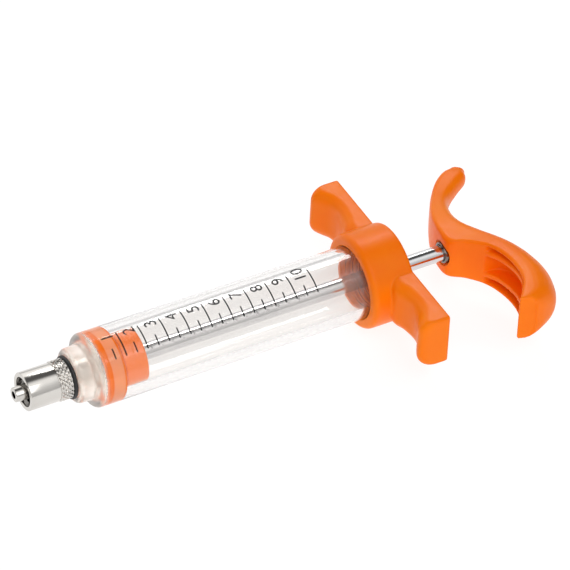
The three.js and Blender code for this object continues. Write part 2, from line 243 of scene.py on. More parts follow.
nickelSettings = {
    "tint": (0.60, 0.575, 0.54),
    "lighter": (0.68, 0.655, 0.62),
    "roughness": (0.12, 0.2),
    "lines": 0.25,
    # painted shade: a dark colour laid in the bore and the hollow round the cone, with the radii where it
    # starts and ends
    "shadeColour": (0.05, 0.045, 0.04),
    "shadeBore": (1.0, 1.1),
    "shadeFrom": (2.35, 2.45),
    "shadeTo": (3.97, 4.02),
    "shadeHollow": 0.75,
}
steelSettings = {
    "tint": (0.66, 0.66, 0.67),
    "lighter": (0.74, 0.74, 0.74),
    "roughness": (0.09, 0.16),
    "lines": 0.15,
}


def paintedShadeInside(tree, s, colour):
    # painted shade: darkens the cone's bore and the hollow between the cone and the skirt, where shade falls
    radius = radiusOf(tree, axesOf(tree))
    bore = spread(tree, radius, 1, 0, *(r * mm for r in s["shadeBore"]))
    start = spread(tree, radius, 0, 1, *(r * mm for r in s["shadeFrom"]))
    end = spread(tree, radius, 1, 0, *(r * mm for r in s["shadeTo"]))
    hollow = mathOf(tree, "MULTIPLY", mathOf(tree, "MULTIPLY", start, end), s["shadeHollow"])
    darker = addNode(tree, "ShaderNodeMix", data_type="RGBA")
    darker.inputs["B"].default_value = (*s["shadeColour"], 1)
    tree.links.new(colour, darker.inputs["A"])
    tree.links.new(mathOf(tree, "MAXIMUM", bore, hollow), darker.inputs["Factor"])
    return darker.outputs["Result"]


def turnedMetal(name, s):
    material, tree, shader = newMaterial(name, {"Metallic": 1.0})
    ringLines = noiseOf(tree, 700, 4, (6, 0.15, 0.15))
    colour = tintMix(tree, noiseOf(tree, 90, 3), s["tint"], s["lighter"])
    # painted shade in the bore and the hollows
    if "shadeColour" in s:
        colour = paintedShadeInside(tree, s, colour)
    tree.links.new(colour, shader.inputs["Base Color"])
    tree.links.new(spread(tree, ringLines, *s["roughness"]), shader.inputs["Roughness"])
    tree.links.new(bumpOf(tree, ringLines, s["lines"], 0.006 * mm), shader.inputs["Normal"])
    return material


rubberSettings = {"dark": (0.006, 0.006, 0.007), "light": (0.016, 0.015, 0.016), "roughness": (0.42, 0.6)}


def blackRubber():
    s = rubberSettings
    material, tree, shader = newMaterial("blackRubber", {})
    fine = noiseOf(tree, 1500, 3)
    tree.links.new(tintMix(tree, fine, s["dark"], s["light"]), shader.inputs["Base Color"])
    tree.links.new(spread(tree, fine, *s["roughness"]), shader.inputs["Roughness"])
    tree.links.new(bumpOf(tree, fine, 0.4, 0.02 * mm), shader.inputs["Normal"])
    return material


acetalSettings = {"dark": (0.76, 0.74, 0.69), "light": (0.84, 0.82, 0.77), "roughness": (0.35, 0.5)}


def paleAcetal():
    s = acetalSettings
    material, tree, shader = newMaterial("paleAcetal", {})
    tree.links.new(tintMix(tree, noiseOf(tree, 200, 3), s["dark"], s["light"]), shader.inputs["Base Color"])
    rings = noiseOf(tree, 900, 2, (5, 0.2, 0.2))
    tree.links.new(spread(tree, rings, *s["roughness"]), shader.inputs["Roughness"])
    tree.links.new(bumpOf(tree, rings, 0.2, 0.01 * mm), shader.inputs["Normal"])
    return material


inkSettings = {"dark": (0.008, 0.008, 0.009), "light": (0.03, 0.03, 0.032), "roughness": (0.4, 0.65)}


def scaleInk():
    s = inkSettings
    material, tree, shader = newMaterial("scaleInk", {"Specular IOR Level": 0.15})
    patchy = noiseOf(tree, 2200, 4)
    tree.links.new(tintMix(tree, patchy, s["dark"], s["light"]), shader.inputs["Base Color"])
    tree.links.new(spread(tree, patchy, *s["roughness"]), shader.inputs["Roughness"])
    return material


finishes = {
    "clear_plastic": clearPlastic(),
    "orange_plastic": orangePlastic(),
    "orange_silicone": orangeSilicone(),
    "nickel_plate": turnedMetal("nickelPlate", nickelSettings),
    "polished_steel": turnedMetal("polishedSteel", steelSettings),
    "black_rubber": blackRubber(),
    "pale_acetal": paleAcetal(),
}
ink = scaleInk()
print("materials made:", len(finishes) + 1)


# shaping tools

def quarterCircle(start, corner, end, t):
    centre = start + (end - corner)
    reach = (start - corner).length
    turn = t * math.pi / 2
    first = (start - centre).normalized() * reach * math.cos(turn)
    second = (end - centre).normalized() * reach * math.sin(turn)
    return centre + first + second


def softCorners(outline, steps, closed=True):
    # rounds each corner (x, radius, fillet) of an outline, a square one into a quarter circle
    count = len(outline)
    points = []
    for i, corner in enumerate(outline):
        here = Vector(corner[:2])
        fillet = corner[2] if len(corner) > 2 else 0
        inside = closed or 0 < i < count - 1
        if fillet <= 0 or not inside:
            points.append(tuple(here))
            continue
        back = Vector(outline[i - 1][:2]) - here
        ahead = Vector(outline[(i + 1) % count][:2]) - here
        start = here + back.normalized() * min(fillet, back.length * 0.49)
        end = here + ahead.normalized() * min(fillet, ahead.length * 0.49)
        square = abs(back.normalized().dot(ahead.normalized())) < 0.05
        for k in range(steps + 1):
            t = k / steps
            if square:
                points.append(tuple(quarterCircle(start, here, end, t)))
            else:
                points.append(tuple(start * (1 - t) ** 2 + here * 2 * t * (1 - t) + end * t ** 2))
    return points


def evenSteps(start, end, radius, step):
    count = max(1, round(abs(end - start) / step))
    return [(start + (end - start) * i / count, radius) for i in range(count + 1)]


def turnPiece(name, outline, sides=96, steps=5):
    # turns an outline (x, radius, fillet) about the barrel's axis, ring by ring
    closed = outline[0][1] > 0  # an outline that starts at radius 0 is a solid bar, with its ends filled
    stations = softCorners(outline, steps, closed)
    if not closed:
        stations = [s for s in stations if s[1] > 0]
    kept = [stations[0]]
    for s in stations[1:]:
        if (Vector(s) - Vector(kept[-1])).length > 1e-4:
            kept.append(s)
    stations = kept
    bpy.ops.object.select_all(action="DESELECT")
    startX, startRadius = stations[0]
    bpy.ops.mesh.primitive_circle_add(
        vertices=sides, radius=startRadius * mm, location=place(startX, 0, 0), rotation=(0, math.pi / 2, 0))
    piece = bpy.context.object
    piece.name = name
    bpy.ops.object.mode_set(mode="EDIT")
    bpy.ops.mesh.select_all(action="SELECT")
    path = stations + [stations[0]] if closed else stations
    for (x0, r0), (x1, r1) in zip(path, path[1:]):
        bpy.ops.mesh.extrude_region_move(TRANSFORM_OT_translate={"value": ((x1 - x0) * mm, 0, 0)})
        bpy.ops.transform.resize(value=(1, r1 / r0, r1 / r0), center_override=place(x1, 0, 0))
    bpy.ops.mesh.select_all(action="SELECT")
    bpy.ops.mesh.remove_doubles(threshold=1e-7)
    if not closed:
        bpy.ops.mesh.fill_holes(sides=0)
    bpy.ops.mesh.select_all(action="SELECT")
    bpy.ops.mesh.normals_make_consistent(inside=False)
    bpy.ops.object.mode_set(mode="OBJECT")
    bpy.ops.object.transform_apply(location=True, rotation=True, scale=True)
    return piece


def turnRing(name, s, sides):
    return turnPiece(name, [
        (s["front"], s["bore"], s["boreFillet"]),
        (s["front"], s["radius"], s["fillet"]),
        (s["rear"], s["radius"], s["fillet"]),
        (s["rear"], s["bore"], s["boreFillet"]),
    ], sides=sides)


def around(point):
    # a point's place along the axis, its radius and its turn, in millimetres and radians
    y, z = (point.y - axisY) / mm, (point.z - axisZ) / mm
    return (point.x - zeroX) / mm, math.hypot(y, z), math.atan2(z, y)


def setRadius(vertex, radius):
    turn = around(vertex.co)[2]
    vertex.co.y = axisY + radius * mm * math.cos(turn)
    vertex.co.z = axisZ + radius * mm * math.sin(turn)


def wave(value):
    # 0 in the root, 1 on the crest, with short flanks and rounded corners
    t = abs((value % 1.0) * 2 - 1)
    t = min(1.0, max(0.0, (t - 0.25) / 0.5))
    return t * t * (3 - 2 * t)


def cutThread(piece, start, end, root, crest, lead, starts=1, fade=0.8):
    # raises a screw thread between start and end, from the ring at the root radius to the crest radius
    for vertex in piece.data.vertices:
        x, radius, turn = around(vertex.co)
        if abs(radius - root) > 0.02 or not start - 1e-3 < x < end + 1e-3:
            continue
        ends = min(1.0, (x - start) / fade, (end - x) / fade)
        height = wave((x / lead - turn / (2 * math.pi)) * starts) * max(0.0, ends)
        setRadius(vertex, root + (crest - root) * height)


def smoothBetween(points, value):
    # a smooth curve through points (place, height), read at value
    if value <= points[0][0]:
        return points[0][1]
    for i in range(len(points) - 1):
        (x0, y0), (x1, y1) = points[i], points[i + 1]
        if value <= x1:
            before = points[max(0, i - 1)]
            after = points[min(len(points) - 1, i + 2)]
            slope0 = (y1 - before[1]) / (x1 - before[0])
            slope1 = (after[1] - y0) / (after[0] - x0)
            h = x1 - x0
            t = (value - x0) / h
            return (y0 * (2 * t ** 3 - 3 * t ** 2 + 1) + y1 * (3 * t ** 2 - 2 * t ** 3)
                    + slope0 * h * (t ** 3 - 2 * t ** 2 + t) + slope1 * h * (t ** 3 - t ** 2))
    return points[-1][1]


def roundedSection(front, back, low, high, radii, steps):
    # a rectangle whose radii are for its corners front-low, front-high, back-high and back-low
    corners = [(front, low, radii[0]), (front, high, radii[1]), (back, high, radii[2]), (back, low, radii[3])]
    turns = [(math.pi * 1.5, math.pi), (math.pi, math.pi / 2), (math.pi / 2, 0), (0, -math.pi / 2)]
    points = []
    for (x, z, r), (start, end) in zip(corners, turns):
        cx = x + r if x == front else x - r
        cz = z + r if z == low else z - r
        for k in range(steps + 1):
            angle = start + (end - start) * k / steps
            points.append((cx + r * math.cos(angle), cz + r * math.sin(angle)))
    return points


def orderedLoop(mesh):
    mesh.verts.ensure_lookup_table()
    start = mesh.verts[0]
    loop, before, here = [start], None, start
    while True:
        step = next(e.other_vert(here) for e in here.link_edges if e.other_vert(here) is not before)
        if step is start:
            return loop
        loop.append(step)
        before, here = here, step


def loftPiece(name, rings):
    # extrudes a ring of points from section to section and closes both ends
    bpy.ops.object.select_all(action="DESELECT")
    bpy.ops.mesh.primitive_circle_add(vertices=len(rings[0]), radius=5 * mm, location=(0, 0, 0))
    piece = bpy.context.object
    piece.name = name
    bpy.ops.object.mode_set(mode="EDIT")
    bpy.ops.mesh.select_all(action="SELECT")
    mesh = bmesh.from_edit_mesh(piece.data)
    loop = orderedLoop(mesh)
    for vertex, spot in zip(loop, rings[0]):
        vertex.co = spot
    for ring in rings[1:]:
        old = [vertex.co.copy() for vertex in loop]
        bpy.ops.mesh.extrude_region_move(TRANSFORM_OT_translate={"value": (0, 0, 0)})
        mesh = bmesh.from_edit_mesh(piece.data)
        fresh = [v for v in mesh.verts if v.select]
        loop = [min(fresh, key=lambda v: (v.co - spot).length) for spot in old]
        for vertex, spot in zip(loop, ring):
            vertex.co = spot
    bmesh.update_edit_mesh(piece.data)
    bpy.ops.mesh.select_all(action="SELECT")
    bpy.ops.mesh.fill_holes(sides=0)
    bpy.ops.mesh.select_all(action="SELECT")
    bpy.ops.mesh.normals_make_consistent(inside=False)
    bpy.ops.object.mode_set(mode="OBJECT")
    return piece


def runModifier(piece, kind, **settings):
    bpy.ops.object.select_all(action="DESELECT")
    bpy.context.view_layer.objects.active = piece
    piece.select_set(True)
    modifier = piece.modifiers.new(kind.lower(), kind)
    for key, value in settings.items():
        setattr(modifier, key, value)
    bpy.ops.object.modifier_apply(modifier=modifier.name)


def mouldSmooth(piece, s):
    # joins what overlaps into one skin and softens its edges, as in a mould
    runModifier(piece, "REMESH", mode="VOXEL", voxel_size=s["voxel"] * mm)
    runModifier(piece, "SMOOTH", factor=0.5, iterations=s["smooth"])


def cutAway(piece, cutter):
    runModifier(piece, "BOOLEAN", operation="DIFFERENCE", object=cutter, solver="EXACT")
    bpy.data.objects.remove(cutter)


def joinPieces(name, pieces):
    bpy.ops.object.select_all(action="DESELECT")
    for piece in pieces:
        piece.select_set(True)
    bpy.context.view_layer.objects.active = pieces[0]
    bpy.ops.object.join()
    pieces[0].name = name
    return pieces[0]


def finishPiece(piece, body, slot, nodes=(), angle=35, material=None):
    bpy.ops.object.select_all(action="DESELECT")
    bpy.context.view_layer.objects.active = piece
    piece.select_set(True)
    bpy.ops.object.transform_apply(location=True, rotation=True, scale=True)
    bpy.ops.object.shade_smooth_by_angle(angle=math.radians(angle))
    piece.data.materials.clear()
    piece.data.materials.append(material or finishes[slot])
    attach(piece, body)
    if nodes:
        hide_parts(*nodes)
    print("made:", piece.name, len(piece.data.polygons), "faces")


barrelSettings = {
    "bore": 7.17,
    "radius": 10.0,
    "boss": -noseLength,
    "bossRadius": 7.4,
    "shoulder": -3.0,
    "end": 83.4,
    "threadStart": 77.1,
    "threadCore": 9.62,
    "threadCrest": 9.93,
    "threadLead": 2.0,
    "stemHole": 3.02,
    "stemEnd": -1.4,
    "outlet": 1.0,
}


def makeBarrel():
    s = barrelSettings
    outline = [
        (s["boss"], s["stemHole"], 0.25),
        (s["boss"], s["bossRadius"], 1.2),
        (s["shoulder"], s["bossRadius"], 0.5),
        (s["shoulder"], s["radius"], 1.9),
        (s["threadStart"], s["radius"], 0.3),
        *evenSteps(s["threadStart"] + 0.3, s["end"] - 0.6, s["threadCore"], 0.16),
        (s["end"], s["threadCore"], 0.35),
        (s["end"], s["bore"], 0.4),
        (0, s["bore"], 0.5),
        (0, s["outlet"], 0.2),
        (s["stemEnd"], s["outlet"]),
        (s["stemEnd"], s["stemHole"]),
    ]
    barrel = turnPiece("clearBarrel", outline, sides=128, steps=6)
    threadFrom, threadTo = s["threadStart"] + 0.5, s["end"] - 0.6
    cutThread(barrel, threadFrom, threadTo, s["threadCore"], s["threadCrest"], s["threadLead"])
    finishPiece(barrel, "barrel", "clear_plastic", ["barrel"])
    barrel.visible_shadow = False  # the clear tube lets the light through to what is in it


scaleSettings = {
    "pitch": 6.189,
    "marks": 10,
    "line": 0.36,
    "top": 90.0,  # angles round the barrel: 90 is its top, and less is nearer the front
    "baseline": 48.4,
    "halfEnd": 65.0,
    "digitSize": 4.75,
    "digitGap": 2.65,
    "digitTurn": 85.5,
    "ink": 0.03,
    "lift": 0.004,
    "radius": 10.0,
}


def flatStrip(x, fromTurn, toTurn):
    # a mark laid flat: x along the barrel, y the distance round it from the top
    s = scaleSettings
    length = math.radians(abs(toTurn - fromTurn)) * s["radius"] * mm
    middle = math.radians(90 - (fromTurn + toTurn) / 2) * s["radius"] * mm
    bpy.ops.mesh.primitive_grid_add(x_subdivisions=1, y_subdivisions=16, size=1, location=(x, -middle, 0))
    strip = bpy.context.object
    strip.scale = (s["line"] * mm, length, 1)
    bpy.ops.object.transform_apply(location=True, rotation=True, scale=True)
    return strip


def flatNumber(text, x):
    s = scaleSettings
    bpy.ops.object.text_add(location=(0, 0, 0))
    number = bpy.context.object
    number.data.body = text
    number.data.size = s["digitSize"] * mm
    number.data.align_x = "CENTER"
    number.data.align_y = "CENTER"
    number.data.resolution_u = 6
    bpy.ops.object.convert(target="MESH")
    number = bpy.context.object
    number.location = (x, -math.radians(90 - s["digitTurn"]) * s["radius"] * mm, 0)
    number.rotation_euler = (0, 0, math.pi / 2)
    bpy.ops.object.transform_apply(location=True, rotation=True, scale=True)
    return number


def makeScale():
    s = scaleSettings
    pieces = []
    for i in range(s["marks"]):
        x = zeroX + s["pitch"] * (i + 1) * mm
        pieces.append(flatStrip(x, s["top"], s["baseline"]))
        pieces.append(flatStrip(x - s["pitch"] * mm / 2, s["baseline"], s["halfEnd"]))
        pieces.append(flatNumber(str(i + 1), x - s["digitGap"] * mm))
    scale = joinPieces("printedScale", pieces)
    runModifier(scale, "SOLIDIFY", thickness=s["ink"] * mm, offset=1)
    for vertex in scale.data.vertices:  # wraps the flat print round the barrel
        turn = math.pi / 2 + vertex.co.y / (s["radius"] * mm)
        radius = (s["radius"] + s["lift"]) * mm + abs(vertex.co.z)
        vertex.co.y = axisY - radius * math.cos(turn)
        vertex.co.z = axisZ + radius * math.sin(turn)
    bpy.ops.object.mode_set(mode="EDIT")
    bpy.ops.mesh.select_all(action="SELECT")
    bpy.ops.mesh.normals_make_consistent(inside=False)
    bpy.ops.object.mode_set(mode="OBJECT")
    finishPiece(scale, "barrel", "black_rubber", material=ink)


nozzleSettings = {
    "front": -20.1,
    "bore": 4.0,
    "skirt": 5.2,
    "relief": 0.3,
    "reliefWidth": 0.25,
    "knurlFront": -11.4,
    "knurlEnd": -8.0,
    "knurl": 5.42,
    "knurlChamfer": 0.3,
    "knurlDepth": 0.34,
    "knurlTeeth": 24,
    "knurlRows": 2.5,
    "knurlSharpness": 1.6,
    "stem": 2.5,
    "stemCrest": 2.95,
    "stemPlain": 1.2,
    "stemEnd": -1.7,
    "stemLead": 1.25,
    "floor": -12.4,
    "threadDepth": 0.55,
    "threadLead": 5.0,
    "tipSeat": 1.85,
    "tipSeatDepth": 3.6,
    "outlet": 1.0,
}


def cutKnurl(nozzle, s, first, last):
    # crossed grooves leave rows of small diamonds
    for vertex in nozzle.data.vertices:
        x, radius, turn = around(vertex.co)
        if abs(radius - s["knurl"]) > 0.01 or not first - 1e-3 < x < last + 1e-3:
            continue
        along = (x - first) / (last - first) * s["knurlRows"]
        across = turn / (2 * math.pi) * s["knurlTeeth"]
        rise = min(abs((t % 1.0) * 2 - 1) for t in (along + across, along - across))
        setRadius(vertex, s["knurl"] - s["knurlDepth"] * (1 - min(1.0, rise * s["knurlSharpness"])))


def makeNozzle():
    s = nozzleSettings
    knurl = evenSteps(s["knurlFront"] + 0.2, s["knurlEnd"] - 0.15, s["knurl"], 0.09)
    reliefFront, relief = s["knurlFront"] - s["reliefWidth"], s["skirt"] - s["relief"]
    chamfer = s["knurl"] - s["knurlChamfer"]
    stemFrom, stemTo = s["knurlEnd"] + s["stemPlain"], s["stemEnd"] - 0.5
    boreFrom, boreTo = s["front"] + 0.5, s["floor"] - 0.8
    seatEnd = s["floor"] + s["tipSeatDepth"]
    outline = [
        (s["front"], s["bore"], 0.2),
        (s["front"], s["skirt"], 0.3),
        (reliefFront, s["skirt"], 0.15),
        (reliefFront, relief, 0.1),
        (s["knurlFront"], relief, 0.1),
        (s["knurlFront"], chamfer),
        *knurl,
        (s["knurlEnd"], chamfer),
        (s["knurlEnd"], s["stem"]),
        *evenSteps(stemFrom, stemTo, s["stem"], 0.12),
        (s["stemEnd"], s["stem"], 0.35),
        (s["stemEnd"], s["outlet"]),
        (seatEnd, s["outlet"]),
        (seatEnd, s["tipSeat"]),
        (s["floor"], s["tipSeat"]),
        (s["floor"], s["bore"], 0.2),
        *reversed(evenSteps(boreFrom, boreTo, s["bore"], 0.2)),
    ]
    nozzle = turnPiece("nozzleBody", outline, sides=s["knurlTeeth"] * 12, steps=4)
    cutThread(nozzle, stemFrom, stemTo, s["stem"], s["stemCrest"], s["stemLead"])
    cutThread(nozzle, boreFrom, boreTo, s["bore"], s["bore"] - s["threadDepth"], s["threadLead"], 2)
    cutKnurl(nozzle, s, knurl[0][0], knurl[-1][0])
    finishPiece(nozzle, "nozzle", "nickel_plate", ["nozzle_body"], angle=28)


tipSettings = {
    "front": -22.7,
    "radius": 1.975,
    "taper": 0.03,
    "bore": 0.95,
    "seat": -12.5,
    "stem": 1.7,
    "end": -8.9,
}


def makeLuerTip():
    s = tipSettings
    wide = s["radius"] + s["taper"] * (s["seat"] + 0.1 - s["front"])
    tip = turnPiece("luerTip", [
        (s["front"], s["bore"], 0.12),
        (s["front"], s["radius"], 0.22),
        (s["seat"], wide),
        (s["seat"], s["stem"]),
        (s["end"], s["stem"]),
        (s["end"], s["bore"]),
    ], sides=72)
    finishPiece(tip, "nozzle", "nickel_plate", ["luer_tip"])


washerSettings = {
    "front": -7.92,
    "rear": -6.98,
    "bore": 3.1,
    "boreFillet": 0.2,
    "radius": 5.88,
    "fillet": 0.38,
}


def makeNozzleWasher():
    washer = turnRing("nozzleWasher", washerSettings, 96)
    finishPiece(washer, "nozzle_washer", "black_rubber", ["nozzle_washer"])


sealSettings = {
    "front": 0.1,
    "lip": 7.185,
    "frontLip": 1.9,
    "groove": 7.18,
    "flank": 0.2,
    "rearLip": 5.25,
    "end": 5.9,
    "bore": 4.75,
    "seat": 1.4,
    "neck": 3.35,
}


def makePistonSeal():
    s = sealSettings
    lipEnd = s["front"] + s["frontLip"]
    seal = turnPiece("pistonSeal", [
        (s["front"], s["bore"]),
        (s["front"], s["lip"], 0.3),
        (lipEnd, s["lip"]),
        (lipEnd + s["flank"], s["groove"]),
        (s["rearLip"] - s["flank"], s["groove"]),
        (s["rearLip"], s["lip"]),
        (s["end"], s["lip"], 0.3),
        (s["end"], s["neck"]),
        (s["seat"], s["neck"]),
        (s["seat"], s["bore"]),
    ], sides=128)
    finishPiece(seal, "piston", "orange_silicone", ["piston_seal"])


coreSettings = {"front": 0.2, "head": 4.6, "headEnd": 1.3, "neck": 3.2, "end": 7.75}


def makePistonCore():
    s = coreSettings
    core = turnPiece("pistonCore", [
        (s["front"], 0),
        (s["front"], s["head"], 0.35),
        (s["headEnd"], s["head"], 0.2),
        (s["headEnd"], s["neck"], 0.1),
        (s["end"], s["neck"], 0.3),
        (s["end"], 0),
    ], sides=72)
    finishPiece(core, "piston", "orange_plastic", ["piston_core"])


guideSettings = {
    "front": 6.0,
    "end": 12.5,
    "radius": 7.03,
    "neckHole": 3.35,
    "rodHole": 2.35,
    "mouth": 2.45,
    "clipRoom": 4.4,
    "clipFront": 8.45,
    "clipEnd": 10.35,
}


def makePistonGuide():
    s = guideSettings
    guide = turnPiece("pistonGuide", [
        (s["front"], s["neckHole"]),
        (s["front"], s["radius"], 0.25),
        (s["end"], s["radius"], 1.0),
        (s["end"], s["mouth"], 0.3),
        (s["clipEnd"], s["rodHole"]),
        (s["clipEnd"], s["clipRoom"]),
        (s["clipFront"], s["clipRoom"]),
        (s["clipFront"], s["neckHole"]),
    ], sides=128)
    finishPiece(guide, "piston", "orange_plastic", ["piston_guide"])


thrustSettings = {
    "front": 9.45,
    "rear": 10.05,
    "bore": 2.35,
    "boreFillet": 0.1,
    "radius": 4.25,
    "fillet": 0.1,
}


def makeThrustWasher():
    washer = turnRing("thrustWasher", thrustSettings, 72)
    finishPiece(washer, "piston", "polished_steel", ["thrust_washer"])


clipSettings = {
    "front": 8.55,
    "rear": 9.35,
    "bore": 1.65,
    "boreFillet": 0.1,
    "radius": 3.6,
    "fillet": 0.15,
}


def makeRetainingClip():
    clip = turnRing("retainingClip", clipSettings, 72)
    finishPiece(clip, "plunger", "polished_steel", ["retaining_clip"])


rodSettings = {
    "radius": 2.2,
    "front": 7.95,
    "grooveFront": 8.45,
    "grooveRear": 9.45,
    "groove": 1.5,
    "end": 109.9,
}


def makePlungerRod():
    s = rodSettings
    rod = turnPiece("plungerRod", [
        (s["front"], 0),
        (s["front"], s["radius"], 0.25),
        (s["grooveFront"], s["radius"]),
        (s["grooveFront"], s["groove"]),
        (s["grooveRear"], s["groove"]),
        (s["grooveRear"], s["radius"]),
        (s["end"], s["radius"], 0.4),
        (s["end"], 0),
    ], sides=72)
    finishPiece(rod, "plunger", "polished_steel", ["plunger_rod"])


bushSettings = {"front": 83.2, "flangeEnd": 84.4, "end": 87.9, "bore": 2.28, "flange": 4.8, "radius": 3.4}


def makeRodGuideBush():
    s = bushSettings
    bush = turnPiece("rodGuideBush", [
        (s["front"], s["bore"], 0.25),
        (s["front"], s["flange"], 0.35),
        (s["flangeEnd"], s["flange"], 0.1),
        (s["flangeEnd"], s["radius"], 0.1),
        (s["end"], s["radius"], 0.2),
        (s["end"], s["bore"], 0.25),
    ], sides=96)
    finishPiece(bush, "guide_bush", "pale_acetal", ["rod_guide_bush"])


gasketSettings = {
    "front": 83.5,
    "rear": 84.4,
    "bore": 6.7,
    "boreFillet": 0.2,
    "radius": 8.6,
    "fillet": 0.25,
}


def makeCapGasket():
    gasket = turnRing("capGasket", gasketSettings, 96)
    finishPiece(gasket, "guide_bush", "orange_silicone", ["cap_gasket"])


capSettings = {
    "front": 75.7,
    "rear": 88.0,
    "radius": 12.95,
    "frontFillet": 1.5,
    "rearFillet": 0.9,
    "bore": 10.18,
    "mouth": 10.28,
    "inside": 84.5,
    "threadDepth": 0.45,
    "threadLead": 2.0,
    "bushHole": 3.55,
    "bushMouth": 4.05,
    # the wings, each a D in section: half span, half height, and depth by distance from the middle
    "span": 30.35,
    "height": 7.6,
    "depths": [
        (0, 6.6), (13.0, 7.3), (16.5, 6.0), (20.4, 5.25), (23.4, 5.75),
        (25.4, 6.85), (27.2, 8.0), (28.6, 8.6), (30.35, 8.75),
    ],
    "ringGap": 0.8,
    "ringsToTip": 36,
    "tipSteps": [0, 0.06, 0.2, 0.45, 0.8, 1.25, 1.9],
    "tipFillet": 1.9,
    "edge": 0.55,
    "topFillet": 3.3,
    "bottomFillet": 4.2,
    "thinnest": 0.8,
    "fullFillets": 5.6,
    "voxel": 0.24,
    "smooth": 7,
}


def arcDrop(radius, gap):
    # how far an arc has fallen from its top, gap before its end
    return radius - math.sqrt(max(0, radius ** 2 - gap ** 2))


def wingRings(s):
    # sections along Y from the near tip to the far tip
    fromTips = {round(s["span"] - step, 3) for step in s["tipSteps"]}
    even = {round(i * s["ringGap"], 3) for i in range(s["ringsToTip"])}
    plan = sorted(fromTips | even)
    plan = [-y for y in reversed(plan) if y > 0] + plan
    rings = []
    for y in plan:
        fromTip = s["span"] - abs(y)
        depth = smoothBetween(s["depths"], abs(y))
        inset = 0.0
        if fromTip < s["tipFillet"]:
            depth -= arcDrop(s["tipFillet"], s["tipFillet"] - fromTip)
        if fromTip < s["edge"]:
            inset = arcDrop(s["edge"], s["edge"] - fromTip)
        front = s["rear"] - depth + inset
        back = s["rear"] - inset
        low, high = -s["height"] + inset, s["height"] - inset
        shrink = min(1.0, (depth - s["thinnest"]) / s["fullFillets"])
        radii = (s["bottomFillet"] * shrink, s["topFillet"] * shrink, s["edge"], s["edge"])
        section = roundedSection(front, back, low, high, radii, 7)
        rings.append([place(x, y, z) for x, z in section])
    return rings


def capHollow(s):
    threadFrom, threadTo = s["front"] + 1.4, s["inside"] - 0.7
    before, behind = s["front"] - 1.0, s["rear"] + 1.0
    hollow = turnPiece("hollow", [
        (before, 0),
        (before, s["mouth"]),
        (s["front"] - 0.1, s["mouth"]),
        (s["front"] + 0.15, s["bore"]),
        *evenSteps(s["front"] + 1.2, threadTo, s["bore"], 0.2),
        (s["inside"], s["bore"], 0.3),
        (s["inside"], s["bushHole"]),
        (s["rear"] - 0.3, s["bushHole"]),
        (s["rear"] + 0.2, s["bushMouth"]),
        (behind, s["bushMouth"]),
        (behind, 0),
    ], sides=128, steps=3)
    cutThread(hollow, threadFrom, threadTo, s["bore"], s["bore"] - s["threadDepth"], s["threadLead"])
    return hollow


def makeCap():
    s = capSettings
    wings = loftPiece("wings", wingRings(s))
    collar = turnPiece("collar", [
        (s["front"], 0),
        (s["front"], s["radius"], s["frontFillet"]),
        (s["rear"], s["radius"], s["rearFillet"]),
        (s["rear"], 0),
    ], sides=128, steps=8)
    cap = joinPieces("wingedCap", [collar, wings])
    mouldSmooth(cap, s)
    cutAway(cap, capHollow(s))
    finishPiece(cap, "cap", "orange_plastic", ["winged_cap"], angle=38)


handleSettings = {
    "hub": 102.9,
    # from the horn's end to the palm's: front x and y, back x and y, height, front and back rounding
    "stations": [
        (17.2, 27.1, 20.7, 24.4, 4.6, 1.7, 1.7),
        (14.7, 26.4, 19.9, 22.4, 5.4, 2.0, 2.2),
        (11.1, 23.5, 16.3, 19.9, 5.6, 1.5, 2.4),
        (7.0, 18.5, 11.9, 16.6, 6.6, 1.2, 2.6),
        (3.6, 13.2, 9.1, 12.9, 9.2, 1.0, 2.8),
        (1.2, 8.0, 7.7, 7.8, 11.6, 0.9, 3.0),
        (0.0, 2.8, 8.2, 3.3, 12.8, 0.9, 3.2),
        (0.0, -2.6, 11.0, -0.8, 12.8, 1.2, 3.8),
        (4.0, -5.2, 14.1, -5.6, 13.4, 1.0, 4.4),
        (7.9, -9.0, 16.6, -10.2, 14.2, 0.8, 5.2),
        (10.0, -14.0, 18.5, -15.2, 14.6, 0.7, 6.0),
        (10.6, -20.0, 19.4, -20.9, 14.6, 0.7, 6.6),
        (9.5, -25.2, 18.7, -26.4, 14.6, 0.7, 6.8),
        (7.1, -28.8, 16.7, -30.6, 14.5, 0.7, 6.6),
        (5.4, -30.8, 12.8, -32.6, 14.4, 0.7, 5.6),
        (4.9, -31.5, 9.4, -33.0, 14.2, 0.6, 3.2),
    ],
    "between": 7,
    "hornEnd": (1.5, 0.62),  # how far the rounded end stands out, and how much of the section it takes off
    "palmEnd": (0.5, 0.2),
    "palmRing": 6,  # the palm's end swells from this ring, counted back from the last
    "voxel": 0.26,
    "smooth": 8,
    # the palm's recess: its height, two ribs in it, and its floor from the hub's side to the palm's end
    "recess": 12.4,
    "ribs": 3.6,
    "rib": 1.6,
    "ribDepth": 4.2,
    "floor": [
        (3.5, -8.3), (10.8, -9.0), (13.7, -11.5), (15.0, -15.5),
        (15.4, -20.0), (14.2, -24.4), (10.5, -27.7), (5.0, -29.2),
    ],
    "widen": [-1, -1, 0, 0, 0, 1, 1, 1],
    "open": -6,
    "softness": 0.5,
    "slotInset": 0.15,
    "floorSteps": 24,
    # the metal insert's hole through the hub
    "insertHole": 3.05,
    "insertMouth": 3.6,
    "insertEnd": 110.75,
}


def roundedEnd(last, inner, reach, close):
    # rings that swell out past the last one and draw in
    middle = sum(last, Vector()) / len(last)
    outward = (middle - sum(inner, Vector()) / len(inner)).normalized()
    rings = []
    for step in (0.2, 0.4, 0.6, 0.8, 1.0):
        angle = step * math.pi / 2
        out = math.sin(angle) * reach * mm
        keep = 1 - (1 - math.cos(angle)) * close
        rings.append([middle + (p - middle) * keep + outward * out for p in last])
    return rings


